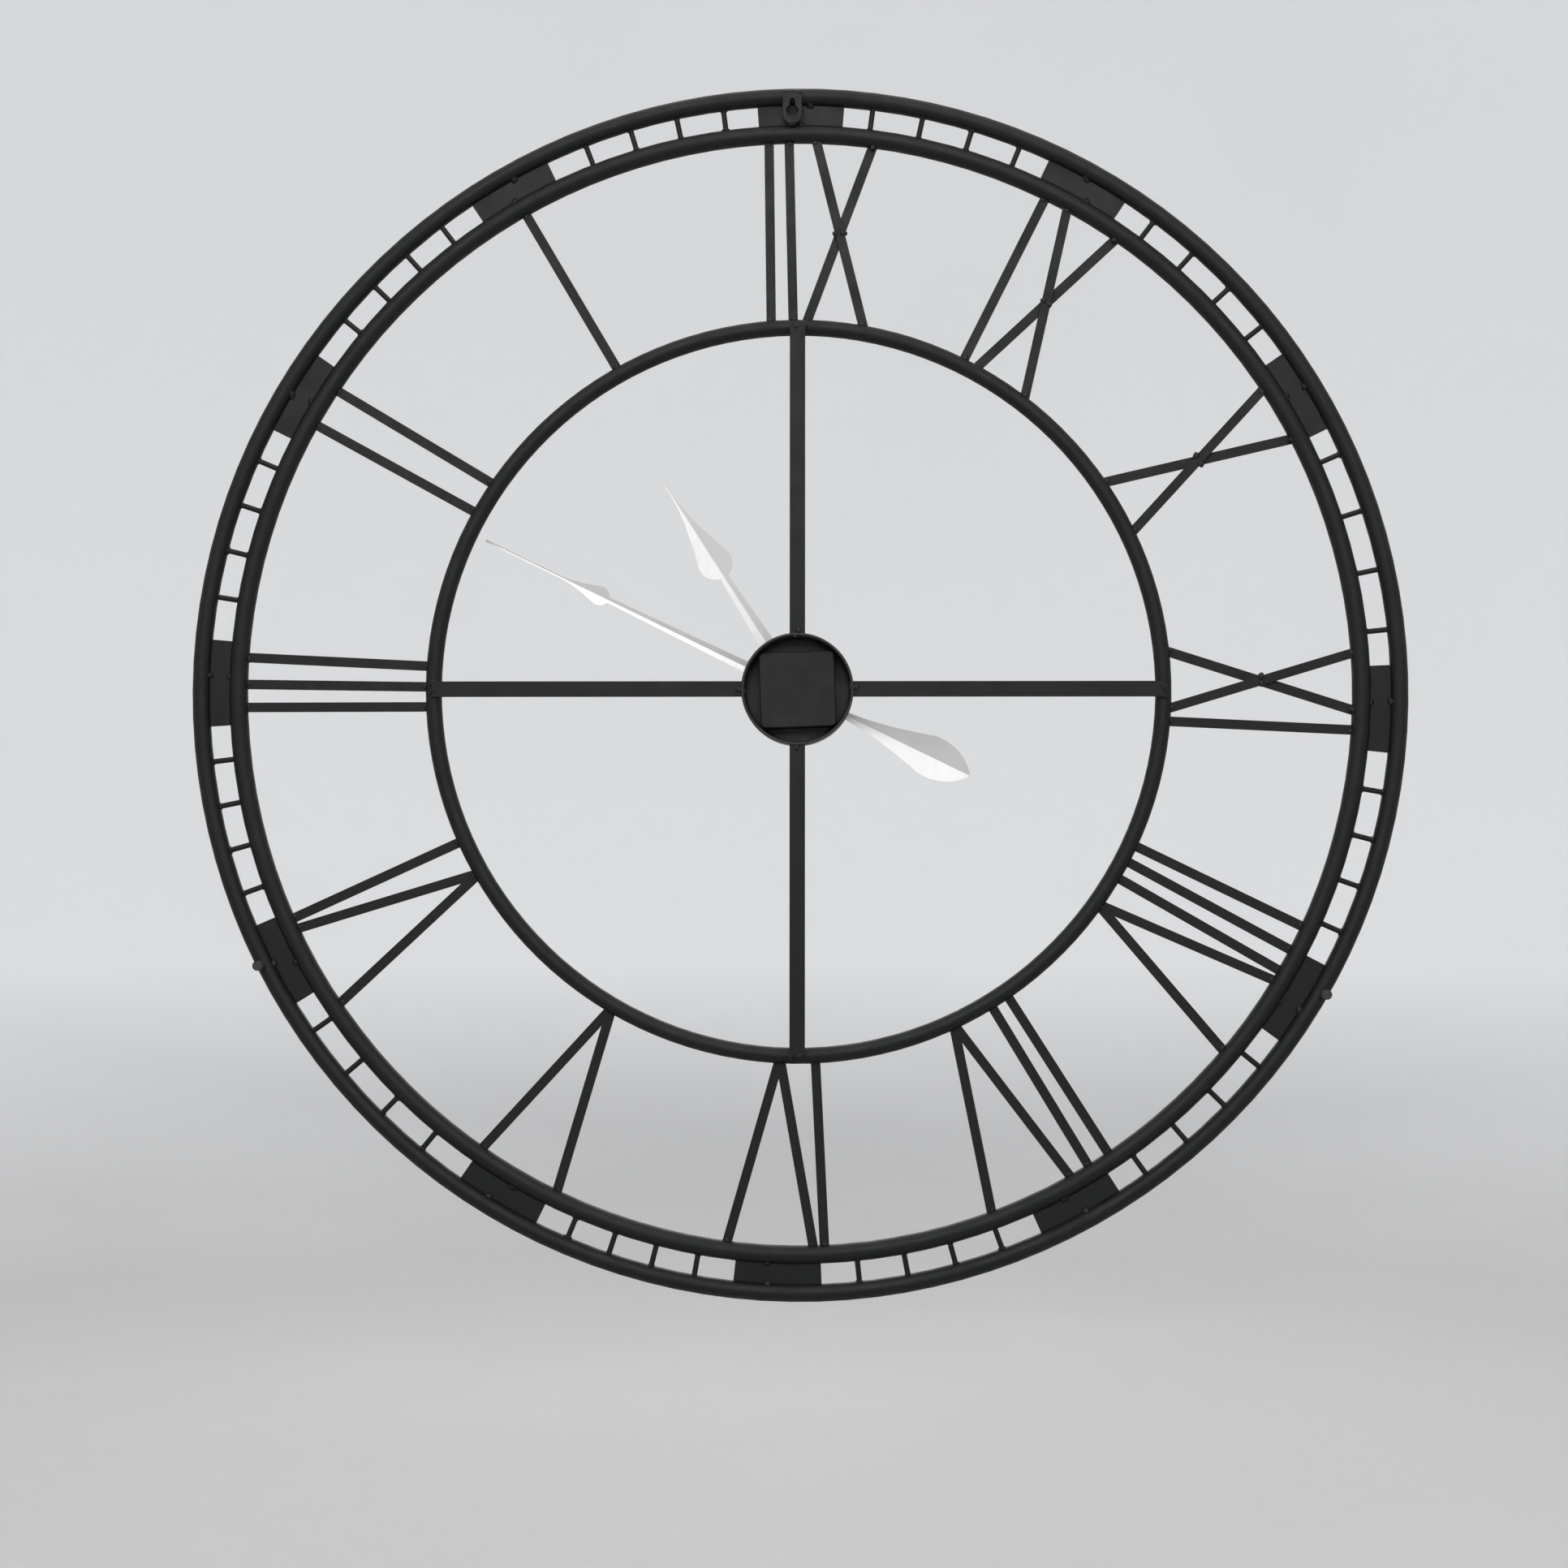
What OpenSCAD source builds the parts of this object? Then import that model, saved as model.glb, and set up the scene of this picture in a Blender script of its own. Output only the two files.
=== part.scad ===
// Large open wall clock: three tube rings, Roman numerals, a hub cup and a quartz movement.
// X points right and Z up as the dial is read, and +Y points to the wall.
// The origin is the centre of the hanger's keyhole, on the hanger plate's back face.
// Clock angles run clockwise from 12, as the dial is read.

/* [Rings] */
// Outside diameter of the outer ring
outer_d = 900; // [820:10:1200]
// Tube diameter of the outer ring
outer_tube_d = 13; // [8:0.5:20]
// Tube diameter of the chapter ring
chapter_tube_d = 13.6; // [8:0.2:20]
// Tube diameter of the inner ring
inner_tube_d = 12; // [8:0.5:20]
// Wall thickness of the three tubes
tube_wall = 1.2; // [0.8:0.1:3]
// Clear gap between the outer ring and the chapter ring
track_gap = 14.6; // [8:0.2:30]
// Clear gap between the chapter ring and the inner ring, which is the numerals' length
numeral_len = 132.8; // [80:0.8:160]

/* [Dial] */
// Width of a numeral's flat bar
bar_w = 7; // [4:0.5:12]
// Thickness of a numeral's flat bar
bar_t = 3; // [2:0.5:5]
// Width of a V between its bars' centre lines, at the chapter ring
v_width = 63; // [40:1:80]
// Width of an X between its bars' centre lines, at both ends
x_width = 41.4; // [30:0.2:60]
// Length of an hour plate along the track
plate_len = 63.8; // [40:0.2:76]
// Thickness of an hour plate
plate_t = 2; // [1:0.5:4]
// Diameter of a minute rod
tick_d = 4; // [2:0.5:6]

/* [Spokes and hub cup] */
// Width of a spoke
spoke_w = 11.4; // [6:0.2:20]
// Thickness of a spoke
spoke_t = 3; // [2:0.5:6]
// Clearance between the movement case's corners and the hub cup's wall
cup_clear = 1.56; // [0.5:0.02:20]
// Depth of the movement case's back below the hub cup's rim
cup_recess = 6.2; // [2:0.2:20]
// Wall thickness of the hub cup
cup_wall = 2; // [1:0.1:3]
// Floor thickness of the hub cup
cup_floor = 1.5; // [1:0.1:3]
// Outside radius of the hub cup's front edge
cup_edge_r = 5; // [3:0.5:8]

/* [Hanger and bumpers] */
// Width of the hanger plate
hanger_w = 14.2; // [12:0.2:24]
// Thickness of the hanger plate
hanger_t = 2; // [1:0.5:4]
// Height of the hanger plate above its keyhole's centre
hanger_top = 14.3; // [14:0.1:20]
// Diameter of the keyhole
keyhole_d = 8.8; // [7:0.2:10]
// Width of the keyhole's slot
slot_w = 4.1; // [3:0.1:6]
// Height of the slot's top above the keyhole's centre
slot_top = 9.3; // [8:0.1:12]
// Distance of the keyhole to the right of the dial's centre
hanger_offset = 4; // [-10:0.5:10]
// Diameter of a wall bumper
bumper_d = 7.4; // [5:0.2:12]
// Distance from the rings' backs to the wall
wall_gap = 6; // [5:0.5:20]

/* [Hands] */
// Length of the minute hand from its axis
minute_len = 262; // [200:1:290]
// Length of the hour hand from its axis
hour_len = 184.5; // [150:0.5:240]
// Length of the minute hand's tail from its axis
tail_len = 143; // [110:1:170]
// Sheet thickness of the hands
hand_t = 0.8; // [0.5:0.1:1.5]
// Fold angle on each side of a hand's ridge
fold = 14; // [5:1:25]
// Clock angle that the minute hand is set to
minute_angle = 64; // [0:1:359]
// Clock angle that the hour hand is set to
hour_angle = 32.7; // [0:0.1:359.9]

/* [Movement] */
// Side of the square movement case
case_w = 56; // [56:0.2:70]
// Clearance between the last wheel and its bearing in the case's cover
cover_gap = 0.7; // [0.3:0.1:4]
// Wall thickness of the movement case
case_wall = 1.5; // [1:0.1:2]
// Corner radius of the movement case
case_r = 4; // [2:0.5:8]
// Clock angle that the movement case is turned to
case_turn = 2; // [-5:0.5:5]
// Outside diameter of the threaded bush
bush_d = 8; // [7.8:0.1:10]
// Outside diameter of the hour pipe
hour_pipe_d = 5; // [4.6:0.1:6]
// Outside diameter of the minute arbor
minute_arbor_d = 3.2; // [2.4:0.1:3.6]
// Diameter of the wheels' thin arbors
arbor_d = 1; // [0.8:0.1:1.2]
// Radial running clearance of shafts and pipes
run_clear = 0.05; // [0.02:0.01:0.09]
// Thickness of the gear wheels
wheel_t = 0.8; // [0.6:0.1:1]
// Distance between two wheels one above the other
wheel_gap = 0.8; // [0.6:0.1:1]
// Diameter of the battery
battery_d = 10.4; // [9.5:0.1:10.5]
// Length of the battery
battery_len = 44.5; // [40:0.1:45]

/* [Hidden] */
$fn = 96;

// Rings: mid radius of each tube, seen from the dial's centre
outer_mid = outer_d / 2 - outer_tube_d / 2;
chapter_mid = outer_d / 2 - outer_tube_d - track_gap - chapter_tube_d / 2;
inner_mid = chapter_mid - chapter_tube_d / 2 - numeral_len - inner_tube_d / 2;
track_mid = outer_d / 2 - outer_tube_d - track_gap / 2;
numeral_out = chapter_mid - chapter_tube_d / 2;
numeral_in = inner_mid + inner_tube_d / 2;
end_sink = 3;

// Depths along Y. The rings' backs lie in one plane, and the hanger plate lies on it.
ring_back = -hanger_t;
wall_y = ring_back + wall_gap;
track_y = ring_back - outer_tube_d / 2;
bar_y = ring_back - chapter_tube_d / 2;

// Hanger: the keyhole's centre is a little above the track's middle line, and its plate ends in
// a half round below it
keyhole_up = 1.4;
dial_x = -hanger_offset;
dial_z = -(track_mid + keyhole_up);
hanger_round_low = 2.7;

// Bumpers sit a little outside the outer ring's crest
bumper_out = 3;
bumper_at = outer_mid + bumper_out;
bumper_angles = [117.2, -120.1];

// Hub cup: its rim stands a little behind the spokes
rim_over = 1;
cup_back = ring_back + spoke_t + rim_over;
cup_hole_d = bush_d + 0.4;

// The dial is welded up by hand, so its plates and minute rods are a little uneven.
// One row for each hour from 12: the plate's angle off the hour, then the first rod's
// angle past the hour and the rods' pitch, all in degrees.
track = [
    [-0.3, 7.3, 4.65], [-0.4, 7.5, 4.4], [-0.7, 6.9, 4.65], [-0.7, 7.0, 4.4],
    [-2.2, 5.2, 5.2], [-0.3, 7.3, 4.25], [-1.9, 6.0, 4.7], [-1.6, 5.7, 5.0],
    [-1.9, 5.9, 4.7], [-1.9, 5.8, 5.9], [0.5, 8.1, 4.9], [0.4, 7.8, 4.95],
];
rods_per_hour = 4;

// Each numeral's letters in reading order: the letter, then how far its centre line lies
// clockwise of the hour at the chapter ring and at the inner ring, in degrees.
numerals = [
    ["XII", [["X", -4.9, -5.8], ["I", 0.9, 0.7], ["I", 3.0, 4.1]]],
    ["I", [["I", -0.3, -0.7]]],
    ["II", [["I", -3.1, -4.1], ["I", 1.1, 1.1]]],
    ["III", [["I", -3.4, -3.7], ["I", -0.6, -0.5], ["I", 1.8, 2.6]]],
    ["IV", [["I", -5.6, -5.7], ["V", 0, 0]]],
    ["V", [["V", 0, -0.2]]],
    ["VI", [["V", -2.8, -2.7], ["I", 2.8, 2.8]]],
    ["VII", [["V", -5.2, -5.0], ["I", 1.4, 1.5], ["I", 3.8, 4.4]]],
    ["VIII", [["V", -5.9, -5.6], ["I", -0.3, -0.5], ["I", 2.1, 2.4], ["I", 4.8, 5.1]]],
    ["IX", [["I", -4.2, -4.9], ["X", 0.8, 1.5]]],
    ["X", [["X", -0.1, -0.3]]],
    ["XI", [["X", -2.2, -3.4], ["I", 3.3, 3.3]]],
];
v_apex = 2;

// Movement: w runs back from the case's front face. Levels are each wheel's front face.
bush_flange_t = 0.7;
level_step = wheel_t + wheel_gap;
hour_w = case_wall + bush_flange_t + 0.2;
motion_w = hour_w + level_step;
centre_w = motion_w + level_step;
middle_w = centre_w + wheel_t + 0.3;
middle_t = 0.6;
third_w = middle_w + middle_t + 0.4;
second_w = third_w + level_step;
fifth_w = second_w + level_step;
pinion_over = 0.1;

// Case: it is as deep as its wheels or its battery need
pivot_depth = 0.8;
pivot_end = 0.1;
boss_depth = 1.2;
cover_t = 1.8;
cover_bevel = 0.8;
cover_boss_w = max(fifth_w + wheel_t + pinion_over + cover_gap, case_wall + battery_d);
inner_depth = cover_boss_w + boss_depth;
case_depth = inner_depth + cover_t;
motion_post_d = 2;
post_d = 3;
plate_posts = [[-16.4, 17], [16.5, 17], [-16.4, -11.6], [16.5, -11.6]];

// Hub cup around the case, and what clamps the case to its floor
cup_d = 2 * ((case_w / 2 - case_r) * sqrt(2) + case_r + cup_clear + cup_wall);
gasket_t = 0.8;
cup_depth = cup_floor + gasket_t + case_depth + cup_recess;
cup_front = cup_back - cup_depth;
case_front = cup_front + cup_floor + gasket_t;
washer_t = 0.5;
nut_t = 2.2;
bush_show = 1.5;
gasket_d = bush_d + 12;
washer_d = bush_d + 7;
nut_d = bush_d + 5.8;
bush_front = cup_front - washer_t - nut_t - bush_show;
bush_bore = hour_pipe_d + 2 * run_clear;
hour_pipe_bore = minute_arbor_d + 2 * run_clear;
bearing_d = arbor_d + 2 * run_clear;

// Gears: teeth of each wheel and pinion, and the four centre distances
hour_teeth = 40;
motion_pinion_teeth = 10;
motion_teeth = 36;
cannon_teeth = 12;
centre_teeth = 64;
third_pinion_teeth = 8;
third_teeth = 60;
second_pinion_teeth = 8;
second_teeth = 60;
fifth_pinion_teeth = 12;
fifth_teeth = 60;
rotor_teeth = 10;
motion_dist = 12;
third_dist = 10.8;
fifth_dist = 7.92;
rotor_dist = 7;

// Clock angle and place [x, z] of each axis, from the case's centre
motion_dir = -45;
third_dir = 45;
fifth_dir = -90;
rotor_dir = -60;
motion_at = motion_dist * [sin(motion_dir), cos(motion_dir)];
third_at = third_dist * [sin(third_dir), cos(third_dir)];
fifth_at = fifth_dist * [sin(fifth_dir), cos(fifth_dir)];
rotor_at = fifth_at + rotor_dist * [sin(rotor_dir), cos(rotor_dir)];

// Motor
magnet_d = 6;
magnet_t = 1.5;
magnet_w = middle_w + middle_t + 0.2;
stator_t = 0.8;
stator_w = magnet_w + 0.3;
stator_bore = magnet_d + 0.8;
stator_pads = [-8, 8];
pad_d = 3;
coil_x = -21.9;
coil_len = 17;
coil_d = 6.5;
core_w = 2.4;
core_len = 23;
core_low = rotor_at.y - core_len / 2;
core_top = rotor_at.y + core_len / 2;
core_depth = stator_w + stator_t;
flange_t = 1;

// Battery bay
bay_top = -14;
bay_wall = 1;
battery_gap = 0.3;
battery_z = bay_top - bay_wall - battery_d / 2 - battery_gap;
battery_w = case_wall + battery_d / 2;
contact_t = 0.5;
contact_w = 7;

// Circuit board
board = [17, 0.9, 22];
board_at = [8.5, -9];
board_w = second_w + wheel_t + 0.3;
board_posts = [[22.5, -6], [22.5, 10]];
crystal_d = 2;
crystal_len = 6;

// Hands: y of each ridge, worked out so that the folded edges pass each other
boss_t = 1.6;
boss_d = 24;
hour_boss_back = bush_front - 1;
hour_ridge = hour_boss_back - boss_t;
hour_disc_r = 13;
hour_disc_at = 115;
minute_disc_r = 7.4;
minute_disc_at = 166;
tail_root_at = 42;
tail_arc_r = 38.1;
tail_arc_back = 30.9;
tail_blunt = 0.5;
tail_arc_in = sqrt(pow(tail_arc_r, 2) - pow(tail_arc_back, 2));
tail_shoulder = 36.6;
hand_reach = 30;
tail_half = sqrt(pow(tail_arc_r, 2) - pow(tail_shoulder + tail_blunt - tail_arc_back, 2)) - tail_arc_in;
hand_gap = 1.2;
minute_ridge = hour_ridge - hand_gap - hand_t - tail_half * tan(fold);
hour_pipe_front = hour_ridge - 0.5;
minute_arbor_front = minute_ridge - 1.8;
hand_nut_d = minute_arbor_d + 3.8;
hand_nut_t = 3;

NODES = concat(
    ["outer_ring", "chapter_ring", "inner_ring", "minute_rods"],
    [for (h = [0:11]) plate_name(h)],
    [for (h = [0:11]) numeral_name(h)],
    [for (i = [0:3]) spoke_name(i)],
    ["hub_cup", "hanger_plate", "wall_bumpers"],
    ["case_front", "case_cover", "middle_plate", "threaded_bush", "rubber_gasket",
     "clamp_washer", "clamp_nut"],
    ["hour_wheel", "minute_arbor", "motion_wheel", "third_wheel", "second_wheel",
     "fifth_wheel", "rotor"],
    ["stator", "coil", "coil_core", "circuit_board", "quartz_crystal", "battery",
     "battery_contacts"],
    ["hour_hand", "minute_hand", "hand_nut"]
);
node = "all";

function plate_name(h) = str("hour_plate_", h == 0 ? 12 : h);
function numeral_name(h) = str("numeral_", numerals[h][0]);
function spoke_name(i) = str("spoke_", [12, 3, 6, 9][i]);
function drawn(name) = node == "all" || node == name;

// ---- Placing ----

// Puts the children, drawn about the Y axis, on the dial's centre
module on_dial() translate([dial_x, 0, dial_z]) children();

// Turns the children, drawn at 12 o'clock, to a clock angle
module at_clock(a) rotate([0, a, 0]) children();

// Stands shapes drawn along Z so that they run along Y, towards the wall, from y
module along_y(y = 0) translate([0, y, 0]) rotate([-90, 0, 0]) children();

// Puts the children, drawn in the case's own square, on the turned movement
module in_movement() on_dial() at_clock(case_turn) translate([0, case_front, 0]) children();

// Puts the children on one of the movement's axes
module on_axis(at) translate([at.x, 0, at.y]) children();

// ---- Shared shapes ----

// Solid ring of tube diameter d, its back on the common plane
module ring_solid(mid, d) along_y(ring_back - d / 2)
    rotate_extrude($fn = 180) translate([mid, 0]) circle(d / 2, $fn = 48);

module tube_ring(mid, d) along_y(ring_back - d / 2)
    rotate_extrude($fn = 180) translate([mid, 0]) difference() {
        circle(d / 2, $fn = 48);
        circle(d / 2 - tube_wall, $fn = 48);
    }

// Round bar along Y, from y to y + t
module disc(d, y, t) along_y(y) cylinder(d = d, h = t);

module tube(od, id, y, t) difference() {
    disc(od, y, t);
    disc(id, y - 1, t + 2);
}

module rounded_square(w, r) {
    square([w - 2 * r, w], center = true);
    square([w, w - 2 * r], center = true);
    for (x = [-1, 1], y = [-1, 1])
        translate([x, y] * (w / 2 - r)) circle(r, $fn = 48);
}

// Flat square plate with round corners, from w to w + t
module square_plate(side, r, w, t) along_y(w) linear_extrude(t) rounded_square(side, r);

// Box in the dial's plane, from its low corner [x, z] at depth w, of size [x, depth, z]
module slab(at, w, size) translate([at.x, w, at.y]) cube(size);

// Point at a radius and a clock angle, as [x, z]
function polar(r, a) = r * [sin(a), cos(a)];

// ---- Frame ----

module outer_ring() color("#303232") on_dial() tube_ring(outer_mid, outer_tube_d);

module chapter_ring() color("#303232") on_dial()
    tube_ring(chapter_mid, chapter_tube_d);

module inner_ring() color("#303232") on_dial() tube_ring(inner_mid, inner_tube_d);

module hour_plate(h) {
    span = plate_len / track_mid * 180 / PI;
    color("#383a3a") on_dial() difference() {
        at_clock(30 * h + track[h][0] - 90 - span / 2) along_y(track_y - plate_t / 2)
            rotate_extrude(angle = span, $fn = 180) translate([chapter_mid + 3, 0])
                square([outer_mid - chapter_mid - 6, plate_t]);
        ring_solid(outer_mid, outer_tube_d);
        ring_solid(chapter_mid, chapter_tube_d);
    }
}

module minute_rods() color("#383a3a") on_dial() difference() {
    for (h = [0:11], i = [0:rods_per_hour - 1])
        at_clock(30 * h + track[h][1] + i * track[h][2])
            translate([0, track_y, track_mid - track_gap / 2 - end_sink])
                cylinder(d = tick_d, h = track_gap + 2 * end_sink, $fn = 32);
    ring_solid(outer_mid, outer_tube_d);
    ring_solid(chapter_mid, chapter_tube_d);
}

// Flat bar from clock angle a_out at the chapter ring to a_in at the inner ring, fitted to both
module bar(a_out, a_in, y, turn = 0) {
    from = polar(numeral_in, a_in);
    to = polar(numeral_out, a_out);
    run = to - from;
    difference() {
        translate([from.x, y, from.y]) at_clock(atan2(run.x, run.y)) rotate([0, 0, turn])
            translate([-bar_w / 2, 0, -end_sink]) cube([bar_w, bar_t, norm(run) + 2 * end_sink]);
        ring_solid(chapter_mid, chapter_tube_d);
        ring_solid(inner_mid, inner_tube_d);
    }
}

// Half of a width in the dial's plane, as an angle at a radius
function half_angle(width, r) = asin(width / 2 / r);

module letter(kind, a_out, a_in) {
    if (kind == "I") bar(a_out, a_in, bar_y - bar_t / 2);
    if (kind == "V") for (s = [-1, 1])
        bar(a_out + s * half_angle(v_width, numeral_out),
            a_in + s * half_angle(v_apex, numeral_in), bar_y - bar_t / 2);
    if (kind == "X") for (s = [-1, 1])
        bar(a_out + s * half_angle(x_width, numeral_out),
            a_in - s * half_angle(x_width, numeral_in), bar_y, s > 0 ? 0 : 180);
}

module numeral(h) color("#383a3a") on_dial() for (l = numerals[h][1])
    letter(l[0], 30 * h + l[1], 30 * h + l[2]);

module spoke(i) color("#383a3a") on_dial() difference() {
    at_clock(90 * i) translate([-spoke_w / 2, ring_back, 0]) cube([spoke_w, spoke_t, inner_mid]);
    disc(cup_d, ring_back - 1, spoke_t + 2);
}

// Half section of the cup, with a round front edge and a round rim
module cup_section() {
    r = cup_d / 2;
    edge = cup_edge_r;
    translate([cup_hole_d / 2, 0]) square([r - edge - cup_hole_d / 2, cup_floor]);
    translate([r - cup_wall, edge]) square([cup_wall, cup_depth - edge - cup_wall / 2]);
    translate([r - cup_wall / 2, cup_depth - cup_wall / 2]) circle(cup_wall / 2, $fn = 24);
    translate([r - edge, edge]) intersection() {
        difference() {
            circle(edge, $fn = 48);
            circle(edge - cup_wall, $fn = 48);
        }
        translate([0, -edge]) square(edge);
    }
}

module hub_cup() color("#2c2e2e") on_dial() along_y(cup_front)
    rotate_extrude($fn = 144) cup_section();

module hanger_plate() color("#3a3c3c") difference() {
    rotate([90, 0, 0]) linear_extrude(hanger_t) difference() {
        union() {
            translate([-hanger_w / 2, -hanger_round_low])
                square([hanger_w, hanger_top + hanger_round_low]);
            translate([0, -hanger_round_low]) circle(hanger_w / 2);
        }
        translate([-slot_w / 2, 0]) square([slot_w, slot_top - slot_w / 2]);
        translate([0, slot_top - slot_w / 2]) circle(slot_w / 2);
    }
    disc(keyhole_d, -hanger_t - 1, hanger_t + 2);
}

module wall_bumpers() color("#2a2b2b") on_dial() difference() {
    for (a = bumper_angles)
        at_clock(a) translate([0, 0, bumper_at]) disc(bumper_d, track_y, wall_y - track_y);
    ring_solid(outer_mid, outer_tube_d);
}

// ---- Gears ----

// Half-width of a tooth over the pitch circle's half-width, and height over the module
tooth_shape = [[-1.15, 0.95], [0, 1], [0.6, 0.72], [1, 0.35]];
backlash = 0.14;

// Teeth with radial flanks and ogive tips; add is the addendum over the module
function tooth_points(n, m, add) = [for (i = [0:n - 1], s = [-1, 1], j = [0:3])
    let(p = tooth_shape[s < 0 ? j : 3 - j],
        r = m * n / 2 + m * (p[0] > 0 ? p[0] * add : p[0]),
        a = 360 * i / n + s * 90 / n * (1 - backlash) * p[1])
    polar(r, -a)];

// Gear from w, with tooth 0 turned to a clock angle. Its outline is drawn in along_y's plane.
module gear(n, dist, other, add, w, t, turn) at_clock(turn) along_y(w)
    linear_extrude(t) rotate(180) polygon(tooth_points(n, 2 * dist / (n + other), add));

wheel_add = 0.8;
pinion_add = 0.6;

// Clock angle of a gear that meshes, in direction dir, with a gear turned to turn
function mesh_turn(dir, teeth, turn, other) =
    dir + 180 - 360 / other * (0.5 - (dir - turn) * teeth / 360);

// A wheel at w, meshing with a pinion of other teeth
module wheel(n, dist, other, w, turn = 0) gear(n, dist, other, wheel_add, w, wheel_t, turn);

// A pinion meshing with a wheel of other teeth at w, a little thicker than it
module pinion(n, dist, other, w, turn, add = pinion_add)
    gear(n, dist, other, add, w - pinion_over, wheel_t + 2 * pinion_over, turn);

// The trains turn with the hands, which are set by hand
minute_turn = minute_angle - case_turn;
motion_turn = mesh_turn(motion_dir, cannon_teeth, minute_turn, motion_teeth);
hour_turn = mesh_turn(motion_dir + 180, motion_pinion_teeth, motion_turn, hour_teeth);
third_turn = mesh_turn(third_dir, centre_teeth, minute_turn, third_pinion_teeth);
second_turn = mesh_turn(third_dir + 180, third_teeth, third_turn, second_pinion_teeth);
fifth_turn = mesh_turn(fifth_dir, second_teeth, second_turn, fifth_pinion_teeth);
rotor_turn = mesh_turn(rotor_dir, fifth_teeth, fifth_turn, rotor_teeth);

// ---- Movement ----

module case_front() color("#262828") in_movement() {
    difference() {
        square_plate(case_w, case_r, 0, case_wall);
        disc(bush_d, -1, case_wall + 2);
        on_axis(third_at) disc(bearing_d, case_wall - pivot_depth, case_wall);
    }
    along_y(case_wall) linear_extrude(inner_depth - case_wall) difference() {
        rounded_square(case_w, case_r);
        rounded_square(case_w - 2 * case_wall, case_r - case_wall);
    }
    slab([-case_w / 2 + case_wall, bay_top - bay_wall], case_wall,
         [case_w - 2 * case_wall, inner_depth - case_wall, bay_wall]);
    on_axis(motion_at) disc(motion_post_d, case_wall, middle_w - case_wall);
    for (at = plate_posts) on_axis(at) disc(post_d, case_wall, middle_w - case_wall);
    for (at = board_posts) on_axis(at) disc(post_d, case_wall, board_w - case_wall);
}

module case_cover() color("#2a2c2c") in_movement() {
    hull() {
        square_plate(case_w, case_r, inner_depth, cover_t - cover_bevel);
        square_plate(case_w - 2 * cover_bevel, case_r - cover_bevel, inner_depth, cover_t);
    }
    difference() {
        for (at = [[0, 0], third_at, fifth_at, rotor_at])
            on_axis(at) disc(post_d, cover_boss_w, boss_depth);
        for (at = [[0, 0], third_at, fifth_at, rotor_at])
            on_axis(at) disc(bearing_d, cover_boss_w - 1, pivot_depth + 1);
    }
}

module middle_plate() color("#d8d8d2") in_movement() difference() {
    union() {
        slab([-18.2, bay_top + 0.6], middle_w, [36.4, middle_t, 32]);
        for (z = stator_pads) translate([rotor_at.x, 0, rotor_at.y + z])
            disc(pad_d, middle_w, stator_w - middle_w);
    }
    for (at = [[0, 0], third_at, fifth_at, rotor_at])
        on_axis(at) disc(bearing_d, middle_w - 1, middle_t + 2);
}

module threaded_bush() color("#b89a50") in_movement() difference() {
    union() {
        disc(bush_d, bush_front - case_front, case_front - bush_front + case_wall);
        disc(bush_d + 3, case_wall, bush_flange_t);
    }
    disc(bush_bore, bush_front - case_front - 1, case_front - bush_front + case_wall + 3);
}

module rubber_gasket() color("#1c1c1c") on_dial()
    tube(gasket_d, bush_d, cup_front + cup_floor, gasket_t);

module clamp_washer() color("#c8a75a") on_dial()
    tube(washer_d, bush_d, cup_front - washer_t, washer_t);

module clamp_nut() color("#c8a75a") on_dial() difference() {
    along_y(cup_front - washer_t - nut_t) cylinder(d = nut_d, h = nut_t, $fn = 6);
    disc(bush_d, cup_front - washer_t - nut_t - 1, nut_t + 2);
}

module hour_wheel() color("#e6e2d4") in_movement() {
    pipe_w = hour_pipe_front - case_front;
    difference() {
        union() {
            wheel(hour_teeth, motion_dist, motion_pinion_teeth, hour_w, hour_turn);
            disc(hour_pipe_d, pipe_w, hour_w + wheel_t - pipe_w);
        }
        disc(hour_pipe_bore, pipe_w - 1, hour_w + wheel_t - pipe_w + 2);
    }
}

module minute_arbor() color("#c9ad6a") in_movement() {
    pipe_w = minute_arbor_front - case_front;
    difference() {
        union() {
            wheel(centre_teeth, third_dist, third_pinion_teeth, centre_w, minute_turn);
            pinion(cannon_teeth, motion_dist, motion_teeth, motion_w, minute_turn, wheel_add);
            disc(minute_arbor_d, pipe_w, centre_w + wheel_t - pipe_w);
        }
        disc(bearing_d, pipe_w - 1, centre_w + wheel_t - pipe_w + 2);
    }
}

module motion_wheel() color("#e6e2d4") in_movement() on_axis(motion_at) difference() {
    union() {
        wheel(motion_teeth, motion_dist, cannon_teeth, motion_w, motion_turn);
        pinion(motion_pinion_teeth, motion_dist, hour_teeth, hour_w, motion_turn, wheel_add);
        disc(3.6, hour_w, motion_w - hour_w);
    }
    disc(motion_post_d + 2 * run_clear, hour_w - 1, motion_w - hour_w + wheel_t + 2);
}

// Thin arbor from w_low to its bearing in the cover
module arbor(w_low) disc(arbor_d, w_low, cover_boss_w + pivot_depth - pivot_end - w_low);

module third_wheel() color("#f0ece0") in_movement() on_axis(third_at) {
    wheel(third_teeth, third_dist, second_pinion_teeth, third_w, third_turn);
    pinion(third_pinion_teeth, third_dist, centre_teeth, centre_w, third_turn);
    arbor(case_wall - pivot_depth + pivot_end);
}

module second_wheel() color("#f0ece0") in_movement() {
    wheel(second_teeth, fifth_dist, fifth_pinion_teeth, second_w, second_turn);
    pinion(second_pinion_teeth, third_dist, third_teeth, third_w, second_turn);
    arbor(minute_arbor_front - case_front + 0.3);
}

module fifth_wheel() color("#f0ece0") in_movement() on_axis(fifth_at) {
    wheel(fifth_teeth, rotor_dist, rotor_teeth, fifth_w, fifth_turn);
    pinion(fifth_pinion_teeth, fifth_dist, second_teeth, second_w, fifth_turn);
    arbor(middle_w);
}

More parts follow.
